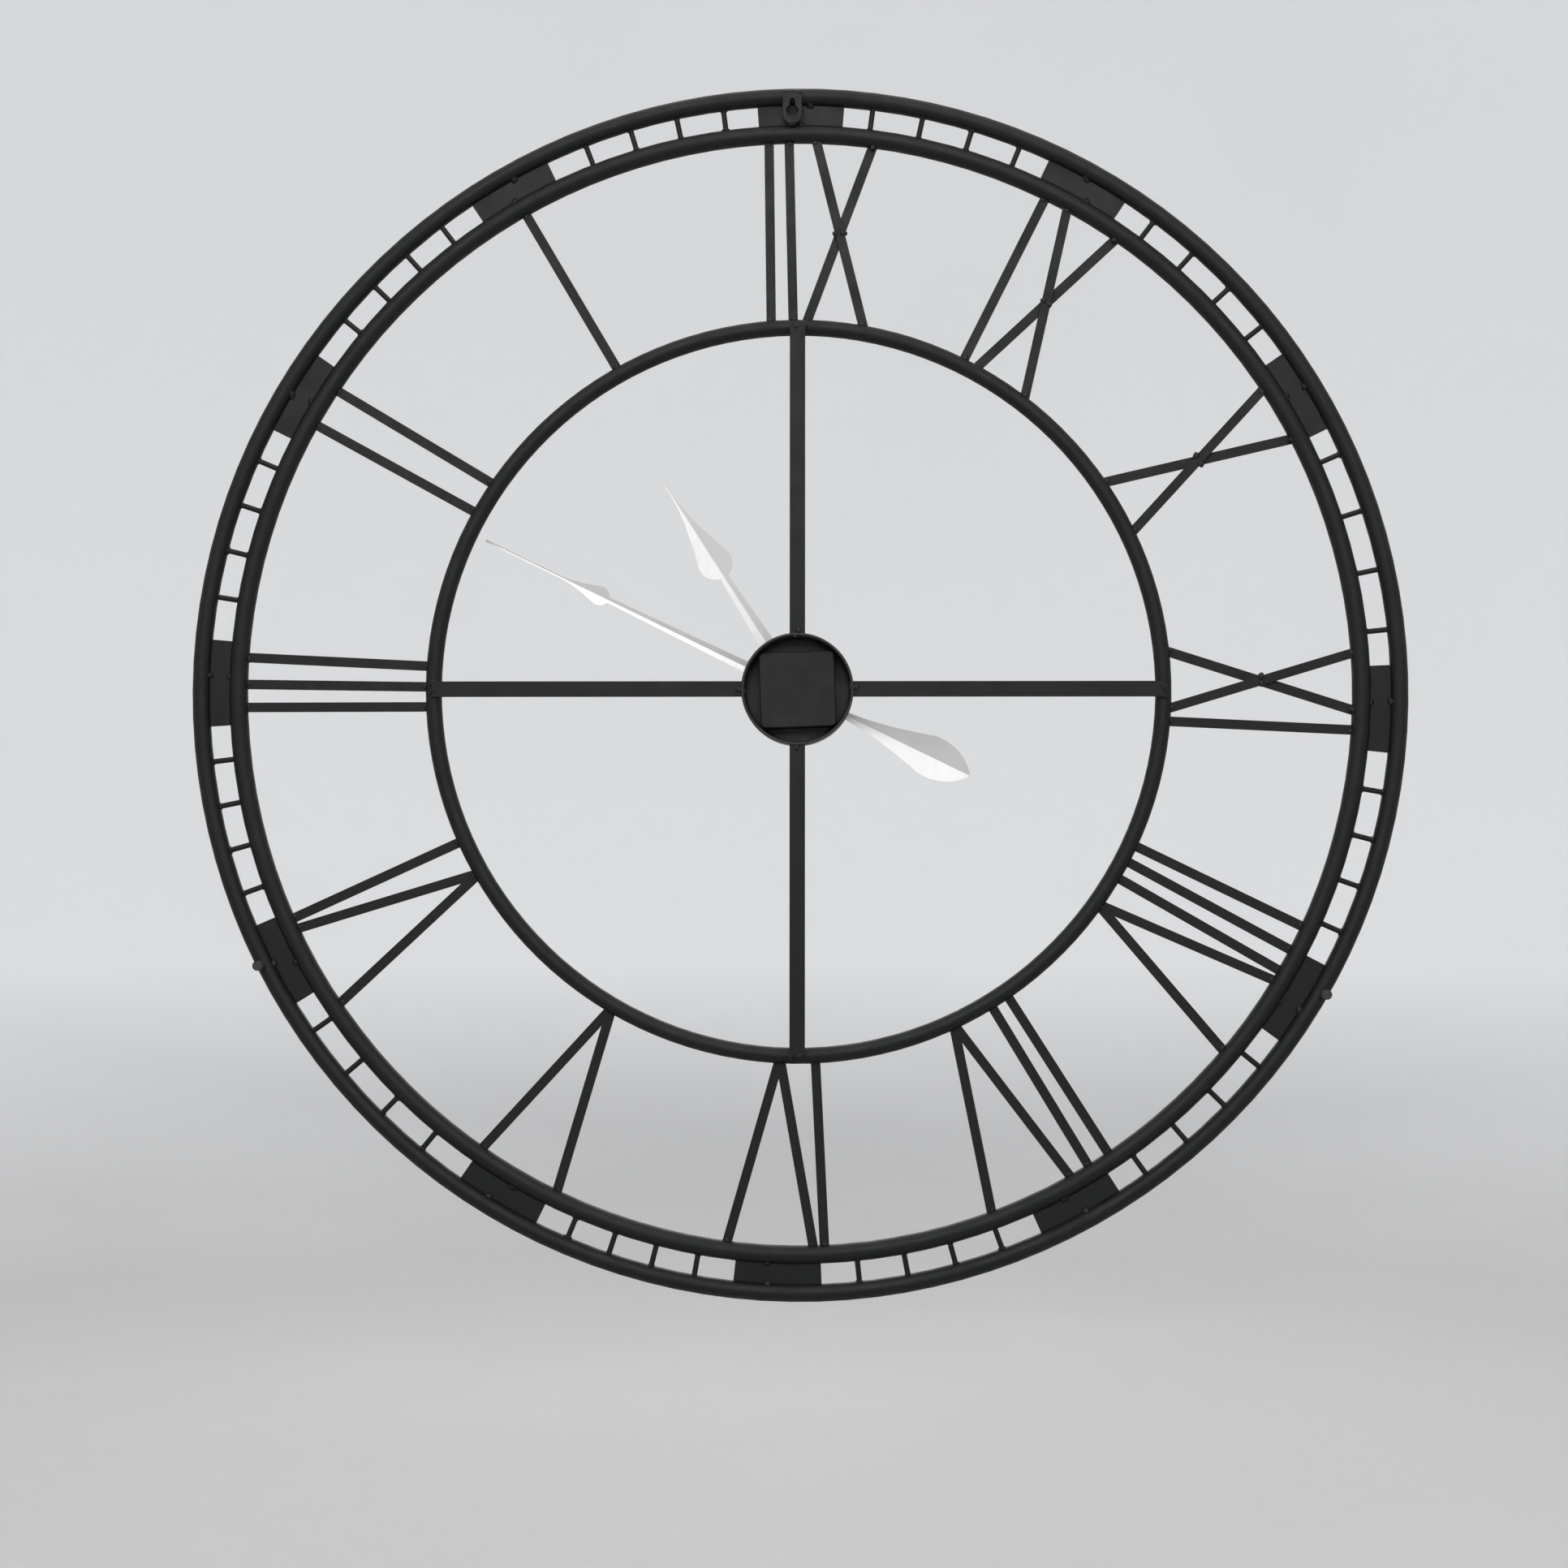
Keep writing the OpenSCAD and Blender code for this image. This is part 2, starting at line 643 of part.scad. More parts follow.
module rotor() color("#8a8a88") in_movement() on_axis(rotor_at) {
    pinion(rotor_teeth, rotor_dist, fifth_teeth, fifth_w, rotor_turn);
    disc(magnet_d, magnet_w, magnet_t);
    arbor(middle_w);
}

// Two-legged plate around the rotor, with its leg ends on the coil's core
module stator() color("#9aa0a4") in_movement() difference() {
    union() {
        on_axis(rotor_at) disc(stator_bore + 1.6, stator_w, stator_t);
        for (s = [-1, 1])
            slab([coil_x - core_w / 2, s > 0 ? core_top - core_w : core_low], stator_w,
                 [rotor_at.x - coil_x + core_w / 2 + 2, stator_t, core_w]);
        slab([rotor_at.x - 2, core_low], stator_w, [4, stator_t, core_len]);
    }
    on_axis(rotor_at) disc(stator_bore, stator_w - 1, stator_t + 2);
}

module coil_core() color("#9aa0a4") in_movement()
    slab([coil_x - core_w / 2, core_low], core_depth, [core_w, stator_t, core_len]);

module coil() color("#a8562a") in_movement() difference() {
    translate([coil_x, core_depth + stator_t / 2, rotor_at.y - coil_len / 2]) {
        cylinder(d = coil_d - 0.8, h = coil_len);
        for (z = [0, coil_len - flange_t]) translate([0, 0, z]) cylinder(d = coil_d, h = flange_t);
    }
    slab([coil_x - core_w / 2, core_low], core_depth, [core_w, stator_t, core_len]);
}

module circuit_board() color("#2f6b3c") in_movement() slab(board_at, board_w, board);

module quartz_crystal() color("#c8ccd0") in_movement()
    translate([board_at.x + board.x / 2, board_w + board.y + crystal_d / 2, board_at.y + 4])
        cylinder(d = crystal_d, h = crystal_len);

module battery() color("#3f6f9f") in_movement()
    translate([-battery_len / 2, battery_w, battery_z]) rotate([0, 90, 0])
        cylinder(d = battery_d, h = battery_len);

// Two bent strips, each from a wall of the case along its front to an end of the battery
module battery_contacts() color("#c8ccd0") in_movement() for (s = [0, 1]) mirror([s, 0, 0]) {
    reach = case_w / 2 - case_wall - battery_len / 2;
    low = battery_z - contact_w / 2;
    height = battery_w - case_wall + contact_w / 2;
    slab([battery_len / 2, low], case_wall, [reach, contact_t, contact_w]);
    for (x = [0, reach - contact_t])
        slab([battery_len / 2 + x, low], case_wall, [contact_t, height, contact_w]);
}

// ---- Hands ----

// Widening from half-width a to b over t from 0 to 1, slow at first
flank_power = 1.45;
flank_steps = 10;
function flank(a, b, t) = a + (b - a) * pow(t, flank_power);

function mirrored(side) = concat(side, [for (i = [len(side) - 1:-1:0]) [-side[i].x, side[i].y]]);

// Outline along +Y: a straight arm, a round spade and a needle to the tip
module hand_outline(length, disc_at, disc_r, arm_half, neck_half, needle_half, needle_at) {
    shoulder = disc_at + disc_r * 0.2;
    side = [for (i = [0:flank_steps]) let(t = i / flank_steps)
        [flank(needle_half, disc_r * 0.98, 1 - t), shoulder + t * (needle_at - shoulder)]];
    translate([0, disc_at]) circle(disc_r);
    polygon(mirrored(concat(side, [[needle_half * 0.7, length]])));
    polygon(mirrored([[arm_half, 0], [neck_half, disc_at]]));
}

// Outline of the tail along +Y: hollow sides to a shoulder, then two arcs to a point
module tail_outline(root_half) {
    shoulder_at = tail_len - tail_shoulder;
    side = [for (i = [0:flank_steps]) let(t = i / flank_steps)
        [flank(root_half, tail_half, t), tail_root_at + t * (shoulder_at - tail_root_at)]];
    polygon(mirrored(concat([[root_half, 0]], side)));
    intersection() {
        tail_arc(-1);
        tail_arc(1);
        translate([-tail_arc_r, shoulder_at]) square([2 * tail_arc_r, tail_shoulder]);
    }
}

// One side's arc of the tail, s = -1 or 1
module tail_arc(s) translate([s * tail_arc_in, tail_len + tail_blunt - tail_arc_back])
    circle(tail_arc_r);

// Folded sheet with its ridge at y, cut to the outline that is its child
module folded(y) intersection() {
    translate([0, y + hand_reach, 0]) rotate([90, 0, 0]) linear_extrude(hand_reach) children();
    for (s = [0, 1]) mirror([s, 0, 0]) translate([0, y, -tail_len])
        rotate([0, 0, fold]) cube([hand_reach, hand_t, minute_len + tail_len]);
}

module hour_hand() color("#e8e8e8") on_dial() at_clock(hour_angle) difference() {
    union() {
        folded(hour_ridge)
            hand_outline(hour_len, hour_disc_at, hour_disc_r, 7.6, 2.8, 1, hour_len - 13);
        disc(boss_d, hour_ridge, boss_t);
    }
    disc(hour_pipe_d, hour_ridge - 1, boss_t + 5);
}

module minute_hand() color("#e8e8e8") on_dial() at_clock(minute_angle) difference() {
    union() {
        folded(minute_ridge) {
            hand_outline(minute_len, minute_disc_at, minute_disc_r, 5.2, 2.2, 1.2, 196);
            rotate(180) tail_outline(3);
        }
        disc(boss_d, minute_ridge, boss_t);
    }
    disc(minute_arbor_d, minute_ridge - 1, boss_t + 5);
}

module hand_nut() color("#d8d8d8") on_dial() difference() {
    disc(hand_nut_d, minute_ridge - hand_nut_t, hand_nut_t);
    disc(minute_arbor_d, minute_arbor_front, 10);
}

// ---- Drawing ----

if (drawn("outer_ring")) outer_ring();
if (drawn("chapter_ring")) chapter_ring();
if (drawn("inner_ring")) inner_ring();
if (drawn("minute_rods")) minute_rods();
for (h = [0:11]) if (drawn(plate_name(h))) hour_plate(h);
for (h = [0:11]) if (drawn(numeral_name(h))) numeral(h);
for (i = [0:3]) if (drawn(spoke_name(i))) spoke(i);
if (drawn("hub_cup")) hub_cup();
if (drawn("hanger_plate")) hanger_plate();
if (drawn("wall_bumpers")) wall_bumpers();
if (drawn("case_front")) case_front();
if (drawn("case_cover")) case_cover();
if (drawn("middle_plate")) middle_plate();
if (drawn("threaded_bush")) threaded_bush();
if (drawn("rubber_gasket")) rubber_gasket();
if (drawn("clamp_washer")) clamp_washer();
if (drawn("clamp_nut")) clamp_nut();
if (drawn("hour_wheel")) hour_wheel();
if (drawn("minute_arbor")) minute_arbor();
if (drawn("motion_wheel")) motion_wheel();
if (drawn("third_wheel")) third_wheel();
if (drawn("second_wheel")) second_wheel();
if (drawn("fifth_wheel")) fifth_wheel();
if (drawn("rotor")) rotor();
if (drawn("stator")) stator();
if (drawn("coil")) coil();
if (drawn("coil_core")) coil_core();
if (drawn("circuit_board")) circuit_board();
if (drawn("quartz_crystal")) quartz_crystal();
if (drawn("battery")) battery();
if (drawn("battery_contacts")) battery_contacts();
if (drawn("hour_hand")) hour_hand();
if (drawn("minute_hand")) minute_hand();
if (drawn("hand_nut")) hand_nut();
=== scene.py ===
"""The looks of a large open-frame wall clock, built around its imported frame.

The frame gives every position: the rings, plates, numerals, spokes, cup and hands keep their
shapes, and get their finishes here. The weld beads that hold the frame together are modelled
here, on the bodies and at the places that the frame gives.
"""

import math
import random

import bmesh
import bpy
from mathutils import Euler, Matrix, Vector


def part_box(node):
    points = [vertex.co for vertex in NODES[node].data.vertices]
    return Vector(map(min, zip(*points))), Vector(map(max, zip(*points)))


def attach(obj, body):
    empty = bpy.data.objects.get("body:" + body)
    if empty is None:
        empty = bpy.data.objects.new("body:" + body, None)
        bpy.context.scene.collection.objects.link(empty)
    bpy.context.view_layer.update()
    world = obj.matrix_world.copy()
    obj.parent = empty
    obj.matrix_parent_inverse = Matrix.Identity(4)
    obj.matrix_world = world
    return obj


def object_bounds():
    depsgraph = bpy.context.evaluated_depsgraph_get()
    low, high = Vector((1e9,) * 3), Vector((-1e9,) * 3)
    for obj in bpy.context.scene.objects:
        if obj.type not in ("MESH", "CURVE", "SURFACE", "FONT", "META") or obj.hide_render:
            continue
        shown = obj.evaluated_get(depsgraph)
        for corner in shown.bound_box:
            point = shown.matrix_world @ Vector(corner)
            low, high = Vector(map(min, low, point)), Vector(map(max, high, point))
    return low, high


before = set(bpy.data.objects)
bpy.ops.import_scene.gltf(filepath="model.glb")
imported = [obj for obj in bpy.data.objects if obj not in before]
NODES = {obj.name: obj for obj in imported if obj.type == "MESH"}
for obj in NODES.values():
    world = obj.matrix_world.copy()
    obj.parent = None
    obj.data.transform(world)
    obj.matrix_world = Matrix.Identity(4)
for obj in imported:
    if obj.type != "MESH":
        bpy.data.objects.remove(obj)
cad_low, cad_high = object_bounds()

MM = 0.001
WALL = Vector((0, 1, 0))
FLOOR = cad_low.z - 0.45

# ---------------------------------------------------------------- places from the frame


class Ring:
    """A round tube ring: its centre, the radius of its tube's middle, and its tube."""

    def __init__(self, node):
        low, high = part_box(node)
        self.centre = (low + high) / 2
        self.tube = (high.y - low.y) / 2
        self.mid = (high.x - low.x) / 2 - self.tube

    def edge(self, side, y):
        """Radius of the tube's surface at depth y, side 1 outside its middle, -1 inside."""
        rise = y - self.centre.y
        return self.mid + side * math.sqrt(max(self.tube**2 - rise**2, 0))


outer_ring = Ring("outer_ring")
chapter_ring = Ring("chapter_ring")
inner_ring = Ring("inner_ring")
dial = outer_ring.centre


def on_dial(angle, radius, y):
    """The point at a clock angle in radians, clockwise from 12, as the dial is read."""
    return Vector((dial.x + radius * math.sin(angle), y, dial.z + radius * math.cos(angle)))


def clock_angle(point):
    return math.atan2(point.x - dial.x, point.z - dial.z)


def from_axis(point):
    return math.hypot(point.x - dial.x, point.z - dial.z)


# Corners this near are one point, ends this near a circle meet it, and ends this far apart
# belong to two bars
SAME_POINT = 0.001 * MM
NEAR_CIRCLE = 3 * MM
BARS_APART = 12 * MM


def solids(node):
    """The corner points of each separate solid in a node."""
    mesh = bmesh.new()
    mesh.from_mesh(NODES[node].data)
    bmesh.ops.remove_doubles(mesh, verts=mesh.verts, dist=SAME_POINT)
    found, seen = [], set()
    for first in mesh.verts:
        if first in seen:
            continue
        seen.add(first)
        waiting, points = [first], []
        while waiting:
            vert = waiting.pop()
            points.append(vert.co.copy())
            for edge in vert.link_edges:
                other = edge.other_vert(vert)
                if other not in seen:
                    seen.add(other)
                    waiting.append(other)
        found.append(points)
    mesh.free()
    return found


def meets(points, radius):
    """Clock angles at which a solid's ends meet a circle round the dial's axis."""
    middle = sum(points, Vector()) / len(points)
    heading = clock_angle(middle)
    turns = sorted(
        math.remainder(clock_angle(p) - heading, math.tau)
        for p in points
        if abs(from_axis(p) - radius) < NEAR_CIRCLE
    )
    groups = []
    for turn in turns:
        if groups and (turn - groups[-1][-1]) * radius < BARS_APART:
            groups[-1].append(turn)
        else:
            groups.append([turn])
    return [heading + (group[0] + group[-1]) / 2 for group in groups]


# ---------------------------------------------------------------- finishes


class Finish:
    """A procedural material. Each add() makes one node, and a socket given as an input is wired."""

    def __init__(self, name):
        self.material = bpy.data.materials.new(name)
        self.material.use_nodes = True
        self.tree = self.material.node_tree
        self.shader = self.tree.nodes["Principled BSDF"]
        self.place = self.add("ShaderNodeTexCoord", out="Object")

    def add(self, kind, out=0, settings=(), **inputs):
        node = self.tree.nodes.new(kind)
        for name, value in dict(settings).items():
            setattr(node, name, value)
        self.feed(node, inputs)
        return node.outputs[out]

    def feed(self, node, inputs):
        for name, value in inputs.items():
            socket = node.inputs[name.replace("_", " ")]
            if isinstance(value, bpy.types.NodeSocket):
                self.tree.links.new(value, socket)
            else:
                socket.default_value = value

    def look(self, **inputs):
        self.feed(self.shader, inputs)
        return self.material

    def noise(self, scale, detail=2.0, roughness=0.5, place=None):
        return self.add(
            "ShaderNodeTexNoise",
            Vector=place or self.place,
            Scale=scale,
            Detail=detail,
            Roughness=roughness,
        )

    def stretched(self, scale, turn=(0, 0, 0)):
        """Object coordinates turned, then scaled apart along each axis, for a grain or a weave."""
        return self.add("ShaderNodeMapping", Vector=self.place, Rotation=turn, Scale=scale)

    def between(self, value, low, high, start=0.3, end=0.7):
        """A value taken from start...end to low...high."""
        return self.add(
            "ShaderNodeMapRange",
            Value=value,
            From_Min=start,
            From_Max=end,
            To_Min=low,
            To_Max=high,
        )

    def math(self, operation, one, two):
        node = self.tree.nodes.new("ShaderNodeMath")
        node.operation = operation
        for socket, value in zip(node.inputs, (one, two)):
            if isinstance(value, bpy.types.NodeSocket):
                self.tree.links.new(value, socket)
            else:
                socket.default_value = value
        return node.outputs[0]

    def colours(self, value, *stops):
        """A colour ramp: stops are (position, (r, g, b))."""
        socket = self.add("ShaderNodeValToRGB", Fac=value)
        ramp = socket.node.color_ramp
        while len(ramp.elements) < len(stops):
            ramp.elements.new(0.5)
        for element, (position, rgb) in zip(ramp.elements, stops):
            element.position = position
            element.color = (*rgb, 1)
        return socket

    def bump(self, height, distance, edge=0.0):
        """Relief of a depth in metres, over edges eased to a radius where one is given."""
        inputs = {"Height": height, "Distance": distance, "Strength": 1.0}
        if edge:
            inputs["Normal"] = self.eased(edge)
        return self.add("ShaderNodeBump", **inputs)

    def eased(self, radius):
        """Normals that turn over a small radius at a sharp edge."""
        return self.add("ShaderNodeBevel", settings={"samples": 4}, Radius=radius)


DUST_GREY = (0.16, 0.16, 0.155)


def powder_coat(name, dark, light, rough):
    """Satin powder coat: a faint orange peel, uneven gloss, and sparse pale dust."""
    f = Finish(name)
    cloud = f.noise(14, 4, 0.6)
    grit = f.noise(2600, 2, 0.6)
    orange = f.noise(900, 2, 0.5)
    specks = f.add("ShaderNodeTexVoronoi", Vector=f.place, Scale=190.0, Randomness=1.0)
    speck = f.between(specks, 1.0, 0.0, 0.03, 0.07)
    patch = f.between(f.noise(37, 2), 0.0, 1.0, 0.60, 0.66)
    dust = f.math("MULTIPLY", speck, patch)
    shade = f.math("ADD", f.between(cloud, 0.0, 0.75), f.between(grit, 0.0, 0.25))
    dusty = f.math("MAXIMUM", f.math("MULTIPLY", shade, 0.5), dust)
    base = f.colours(dusty, (0.0, dark), (0.5, light), (1.0, DUST_GREY))
    worn = f.math("ADD", f.between(f.noise(60, 3), *rough), f.math("MULTIPLY", dust, 0.3))
    height = f.math("ADD", orange, f.math("MULTIPLY", grit, 0.35))
    normal = f.bump(height, 0.03 * MM, edge=0.5 * MM)
    return f.look(Base_Color=base, Roughness=worn, Specular_IOR_Level=0.26, Normal=normal)


def weld_coat():
    """Powder coat over a weld bead: rougher, darker, with the bead's ripple under it."""
    f = Finish("coated weld")
    ripple = f.noise(700, 3, 0.6)
    soot, black = (0.0035, 0.0037, 0.0037), (0.0085, 0.009, 0.009)
    base = f.colours(f.noise(300, 3), (0.3, soot), (0.75, black))
    rough = f.between(f.noise(420, 2), 0.34, 0.6)
    return f.look(
        Base_Color=base, Roughness=rough, Specular_IOR_Level=0.3, Normal=f.bump(ripple, 0.35 * MM)
    )


def moulded(name, dark, light):
    """Matt moulded plastic with a spark-eroded grain."""
    f = Finish(name)
    cells = f.add("ShaderNodeTexVoronoi", Vector=f.place, Scale=2300.0, Randomness=1.0)
    soft = f.noise(1500, 3, 0.6)
    height = f.math("ADD", cells, soft)
    cloud = f.noise(32, 3, 0.55)
    base = f.colours(cloud, (0.25, dark), (0.75, light))
    rubbed = f.between(f.noise(90, 3), 0.5, 0.66)
    normal = f.bump(height, 0.03 * MM, edge=0.3 * MM)
    return f.look(Base_Color=base, Roughness=rubbed, Specular_IOR_Level=0.25, Normal=normal)


def satin_silver():
    """Silver lacquer on sheet: very fine flake, a trace of rolling lines, soft gloss."""
    f = Finish("satin silver lacquer")
    flake = f.noise(5200, 1, 0.5)
    lines = f.noise(1, 4, 0.6, f.stretched((900, 900, 40)))
    cloud = f.noise(26, 3, 0.5)
    base = f.colours(cloud, (0.3, (0.60, 0.60, 0.59)), (0.7, (0.65, 0.65, 0.64)))
    rough = f.math("ADD", f.between(lines, 0.38, 0.48), f.between(flake, 0.0, 0.06))
    height = f.math("ADD", flake, f.math("MULTIPLY", lines, 0.6))
    normal = f.bump(height, 0.006 * MM, edge=0.25 * MM)
    return f.look(Base_Color=base, Metallic=0.5, Roughness=rough, Normal=normal)


def metal(name, dark, light, rough, metallic=1.0):
    """Turned or rolled metal with fine tool lines."""
    f = Finish(name)
    grain = f.noise(1, 4, 0.6, f.stretched((4200, 300, 4200)))
    cloud = f.noise(120, 3)
    base = f.colours(cloud, (0.25, dark), (0.75, light))
    worn = f.math("ADD", f.between(grain, *rough), f.between(f.noise(300, 2), 0.0, 0.06))
    normal = f.bump(grain, 0.01 * MM, edge=0.12 * MM)
    return f.look(Base_Color=base, Metallic=metallic, Roughness=worn, Normal=normal)


def rubber(name):
    """Dull black rubber with a dusty bloom."""
    f = Finish(name)
    bloom = f.noise(240, 4, 0.6)
    base = f.colours(bloom, (0.3, (0.016, 0.016, 0.016)), (0.8, (0.045, 0.045, 0.044)))
    rough = f.between(f.noise(500, 3), 0.68, 0.88)
    normal = f.bump(f.noise(2400, 3, 0.7), 0.05 * MM, edge=0.4 * MM)
    return f.look(Base_Color=base, Roughness=rough, Normal=normal)


def gear_plastic():
    """Natural acetal: waxy, slightly see-through, with faint flow marks."""
    f = Finish("natural acetal")
    flow = f.noise(1, 3, 0.5, f.stretched((160, 60, 160)))
    base = f.colours(flow, (0.3, (0.66, 0.63, 0.54)), (0.7, (0.78, 0.76, 0.68)))
    rough = f.between(f.noise(500, 2), 0.32, 0.46)
    return f.look(
        Base_Color=base,
        Roughness=rough,
        Subsurface_Weight=0.15,
        Subsurface_Scale=0.4 * MM,
        Normal=f.bump(f.noise(1900, 2), 0.012 * MM),
    )


def winding():
    """Enamelled copper wire wound side by side."""
    f = Finish("enamelled copper winding")
    wire = f.add(
        "ShaderNodeTexWave",
        settings={"bands_direction": "Z"},
        Vector=f.place,
        Scale=1300.0,
        Distortion=1.2,
        Detail=2.0,
    )
    tone = f.noise(600, 3)
    base = f.colours(tone, (0.3, (0.42, 0.14, 0.04)), (0.7, (0.62, 0.27, 0.10)))
    return f.look(
        Base_Color=base,
        Metallic=0.7,
        Roughness=f.between(wire, 0.22, 0.40, 0.0, 1.0),
        Coat_Weight=0.4,
        Normal=f.bump(wire, 0.08 * MM),
    )


def solder_mask():
    """Green board with darker laminate weave and copper tracks under the mask."""
    f = Finish("green solder mask")
    tracks = f.add(
        "ShaderNodeTexBrick",
        out="Fac",
        Vector=f.stretched((1, 1, 1), (math.pi / 2, 0, 0)),
        Scale=220.0,
        Mortar_Size=0.06,
    )
    weave = f.noise(2400, 2)
    shade = f.math("ADD", f.math("MULTIPLY", tracks, 0.5), f.between(weave, 0.0, 0.4))
    base = f.colours(shade, (0.0, (0.012, 0.075, 0.030)), (1.0, (0.045, 0.21, 0.08)))
    rough = f.between(f.noise(700, 2), 0.22, 0.34)
    normal = f.bump(tracks, 0.04 * MM)
    return f.look(Base_Color=base, Roughness=rough, Coat_Weight=0.5, Normal=normal)


def wrapped_cell():
    """A plain shrink-wrapped cell with a band at one end."""
    f = Finish("plain cell wrap")
    along = f.add("ShaderNodeSeparateXYZ", out="X", Vector=f.place)
    band_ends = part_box("battery")[1].x - 11.6 * MM
    band = f.between(along, 0.0, 1.0, band_ends - 0.4 * MM, band_ends)
    tone = f.math("ADD", band, f.between(f.noise(300, 3), -0.06, 0.06))
    base = f.colours(tone, (0.2, (0.03, 0.09, 0.20)), (0.8, (0.42, 0.33, 0.14)))
    rough = f.between(f.noise(260, 3), 0.20, 0.34)
    normal = f.bump(f.noise(340, 2), 0.05 * MM)
    return f.look(Base_Color=base, Roughness=rough, Coat_Weight=0.3, Normal=normal)


def studio_surface():
    """Matt pale backdrop, a shade deeper on the floor, with a barely seen roller texture."""
    f = Finish("pale studio surface")
    height = f.add("ShaderNodeSeparateXYZ", out="Z", Vector=f.place)
    rise = f.between(height, 0.0, 1.0, FLOOR + 0.01, FLOOR + 0.55)
    tone = f.math("ADD", rise, f.between(f.noise(1.2, 3), -0.04, 0.04))
    base = f.colours(tone, (0.0, (0.42, 0.42, 0.42)), (1.0, (0.79, 0.793, 0.80)))
    rough = f.between(f.noise(30, 2), 0.85, 0.95)
    return f.look(Base_Color=base, Roughness=rough, Normal=f.bump(f.noise(160, 3), 0.2 * MM))


tube_coat = powder_coat(
    "satin black on tube", (0.0026, 0.0032, 0.0032), (0.0047, 0.0055, 0.0055), (0.46, 0.60)
)
flat_coat = powder_coat(
    "satin black on flat bar", (0.0028, 0.0034, 0.0034), (0.0050, 0.0058, 0.0058), (0.46, 0.60)
)
# The cup has the same satin black coat, but its base is several times lighter than the tubes':
# painted light that lifts the deep cup out of its own shade.
lightened_cup_coat = powder_coat(
    "spun cup black, painted lighter against its shade", (0.021, 0.0216, 0.0216), (0.029, 0.0298, 0.0298), (0.36, 0.50)
)
bead_coat = weld_coat()
case_black = moulded("matt black moulding", (0.0085, 0.0090, 0.0090), (0.012, 0.0127, 0.0127))
hand_silver = satin_silver()
bumper_rubber = rubber("bumper rubber")
gasket_rubber = rubber("gasket rubber")
turned_brass = metal("turned brass", (0.55, 0.38, 0.14), (0.74, 0.55, 0.24), (0.22, 0.36))
steel = metal("rolled steel", (0.42, 0.43, 0.44), (0.60, 0.61, 0.62), (0.26, 0.42))
zinc = metal("bright zinc", (0.62, 0.63, 0.64), (0.76, 0.77, 0.78), (0.20, 0.32))
ferrite = metal("sintered magnet", (0.10, 0.10, 0.10), (0.17, 0.17, 0.165), (0.45, 0.6), 0.5)
acetal = gear_plastic()
copper = winding()
board_green = solder_mask()
cell_wrap = wrapped_cell()

WHEELS = ("hour_wheel", "motion_wheel", "third_wheel", "second_wheel", "fifth_wheel")
FINISHES = {
    "outer_ring": tube_coat,
    "chapter_ring": tube_coat,
    "inner_ring": tube_coat,
    "minute_rods": tube_coat,
    "hub_cup": lightened_cup_coat,
    "hanger_plate": flat_coat,
    "wall_bumpers": bumper_rubber,
    "case_front": case_black,
    "case_cover": case_black,
    "middle_plate": acetal,
    "threaded_bush": turned_brass,
    "rubber_gasket": gasket_rubber,
    "clamp_washer": turned_brass,
    "clamp_nut": turned_brass,
    "minute_arbor": turned_brass,
    "rotor": ferrite,
    "stator": steel,
    "coil_core": steel,
    "quartz_crystal": zinc,
    "battery_contacts": zinc,
    "coil": copper,
    "circuit_board": board_green,
    "battery": cell_wrap,
    "hour_hand": hand_silver,
    "minute_hand": hand_silver,
    "hand_nut": zinc,
    **{node: acetal for node in WHEELS},
    **{node: flat_coat for node in NODES if node.startswith(("hour_plate", "numeral", "spoke"))},
}


def finish_nodes():
    for node, material in FINISHES.items():
        mesh = NODES[node].data
        mesh.materials.clear()
        mesh.materials.append(material)


# ---------------------------------------------------------------- weld beads


def weld_piece(name, mesh):
    """A new object of the finished beads, shaded smooth, riding on the frame."""
    data = bpy.data.meshes.new(name)
    mesh.to_mesh(data)
    mesh.free()
    data.shade_smooth()
    data.materials.append(bead_coat)
    made = bpy.data.objects.new(name, data)
    bpy.context.scene.collection.objects.link(made)
    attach(made, "frame")


def bead(mesh, at, out, across, height, rng):
    """One weld bead: a low, lumpy puddle whose sunk crown faces along out."""
    made = bmesh.ops.create_icosphere(mesh, subdivisions=2, radius=1)["verts"]
    lobes = [(rng.uniform(0, math.tau), rng.uniform(0.06, 0.16), n) for n in (2, 3)]
    for vert in made:
        around = math.atan2(vert.co.y, vert.co.x)
        swell = 1 + sum(size * math.sin(n * around + start) for start, size, n in lobes)
        vert.co.x *= swell
        vert.co.y *= swell
        if vert.co.z > 0.9:
            vert.co.z -= 0.3
        vert.co *= rng.uniform(0.95, 1.05)
    squash = Matrix.Diagonal(
        (across * rng.uniform(0.8, 1.2), across * rng.uniform(0.8, 1.2), height, 1)
    )
    spin = Matrix.Rotation(rng.uniform(0, math.tau), 4, "Z")
    aim = out.to_track_quat("Z", "Y").to_matrix().to_4x4()
    bmesh.ops.transform(mesh, matrix=Matrix.Translation(at) @ aim @ squash @ spin, verts=made)


def outward(angle, lift=0.0):
    """Direction away from the dial's axis at a clock angle, lifted toward the wall."""
    return Vector((math.sin(angle), lift, math.cos(angle))).normalized()


def plate_welds():
    """Two beads on each hour plate, where its back meets the two track rings."""
    mesh, rng = bmesh.new(), random.Random(3)
    for node in NODES:
        if not node.startswith("hour_plate"):
            continue
        low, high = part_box(node)
        angle = clock_angle((low + high) / 2)
        back = high.y
        for ring, side in ((outer_ring, -1), (chapter_ring, 1)):
            shift = rng.uniform(-0.02, 0.02)
            at = on_dial(angle + shift, ring.edge(side, back) + side * 0.6 * MM, back + 0.8 * MM)
            lean = outward(angle, 1.4) if side > 0 else -outward(angle, -1.4)
            bead(mesh, at, lean, 2.6 * MM, 1.0 * MM, rng)
    weld_piece("plate_welds", mesh)


